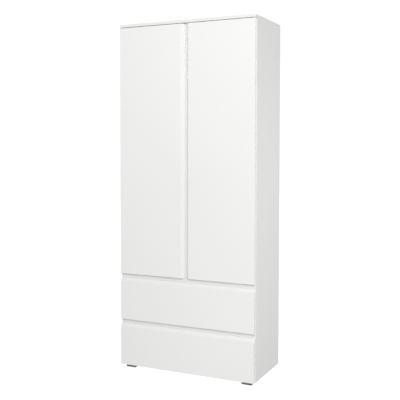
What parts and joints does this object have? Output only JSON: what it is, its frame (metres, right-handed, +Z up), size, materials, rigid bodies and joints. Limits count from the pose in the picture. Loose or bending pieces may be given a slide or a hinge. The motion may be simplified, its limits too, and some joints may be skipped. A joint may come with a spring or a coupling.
{
  "type": "two-door wardrobe with drawers",
  "caption": "Tall handleless white wardrobe: hinged doors with a bevelled finger channel over full-width drawers with bevelled finger gaps, on low glides.",
  "frame": {"origin": "on the floor, under the middle of the wardrobe's box", "axes": "+Z up, +X to the right as seen from the front, the doors and drawers face -Y"},
  "size_m": [0.82, 0.408, 1.965],
  "materials": {
    "white_body_board": "white melamine-faced chipboard, satin",
    "gloss_white_front": "high-gloss white lacquered board",
    "inner_board": "white melamine-faced chipboard",
    "drawer_board": "white foil-wrapped board",
    "hardboard": "thin hardboard, white inside, bare outside",
    "grey_plastic": "moulded grey polypropylene",
    "white_plastic": "moulded white plastic",
    "clear_rubber": "clear soft bumper",
    "chromed_tube": "bright chrome",
    "zinc_alloy": "die-cast zinc, tumbled",
    "plated_steel": "zinc-plated pressed steel"
  },
  "bodies": {
    "carcass": {"back_joint_profile": "white_plastic", "back_nails": "plated_steel", "bottom_panel": "inner_board", "cam_fittings": "zinc_alloy", "centre_strip": "white_body_board", "clothes_rail": "chromed_tube", "drawer_bumpers": "clear_rubber", "fixed_shelf": "inner_board", "foot_screws": "plated_steel", "front_left_foot": "grey_plastic", "front_right_foot": "grey_plastic", "hat_shelf": "inner_board", "hinge_plate_screws": "plated_steel", "left_hinge_arms": "plated_steel", "left_hinge_plates": "plated_steel", "left_rail_socket": "white_plastic", "left_side_panel": "white_body_board", "left_upper_back_panel": "hardboard", "lower_back_panel": "hardboard", "lower_cabinet_glides": "white_plastic", "lower_left_cabinet_runner": "plated_steel", "lower_recess_rail": "white_body_board", "lower_right_cabinet_runner": "plated_steel", "rail_socket_screws": "plated_steel", "rear_left_foot": "grey_plastic", "rear_right_foot": "grey_plastic", "right_hinge_arms": "plated_steel", "right_hinge_plates": "plated_steel", "right_rail_socket": "white_plastic", "right_side_panel": "white_body_board", "right_upper_back_panel": "hardboard", "runner_screws": "plated_steel", "shelf_pins": "plated_steel", "top_panel": "white_body_board", "upper_cabinet_glides": "white_plastic", "upper_left_cabinet_runner": "plated_steel", "upper_recess_rail": "white_body_board", "upper_right_cabinet_runner": "plated_steel", "wall_bracket_screws": "plated_steel", "wall_brackets": "plated_steel"},
    "left_door": {"left_cup_screws": "plated_steel", "left_door_panel": "gloss_white_front", "left_hinge_cups": "plated_steel"},
    "right_door": {"right_cup_screws": "plated_steel", "right_door_panel": "gloss_white_front", "right_hinge_cups": "plated_steel"},
    "upper_drawer": {"upper_drawer_back": "drawer_board", "upper_drawer_floor": "drawer_board", "upper_drawer_front": "gloss_white_front", "upper_drawer_glides": "white_plastic", "upper_drawer_left_side": "drawer_board", "upper_drawer_right_side": "drawer_board", "upper_drawer_runners": "plated_steel"},
    "lower_drawer": {"lower_drawer_back": "drawer_board", "lower_drawer_floor": "drawer_board", "lower_drawer_front": "gloss_white_front", "lower_drawer_glides": "white_plastic", "lower_drawer_left_side": "drawer_board", "lower_drawer_right_side": "drawer_board", "lower_drawer_runners": "plated_steel"}
  },
  "joints": [
    {"name": "left_door_hinge", "type": "hinge", "parent": "carcass", "child": "left_door", "pos_m": [-0.4015, -0.195, 1.247], "axis": [0, 0, -1], "range_deg": [0, 110]},
    {"name": "right_door_hinge", "type": "hinge", "parent": "carcass", "child": "right_door", "pos_m": [0.4015, -0.195, 1.247], "axis": [0, 0, 1], "range_deg": [0, 110]},
    {"name": "upper_drawer_slide", "type": "slide", "parent": "carcass", "child": "upper_drawer", "axis": [0, -1, 0], "range_m": [0, 0.26]},
    {"name": "lower_drawer_slide", "type": "slide", "parent": "carcass", "child": "lower_drawer", "axis": [0, -1, 0], "range_m": [0, 0.26]}
  ]
}
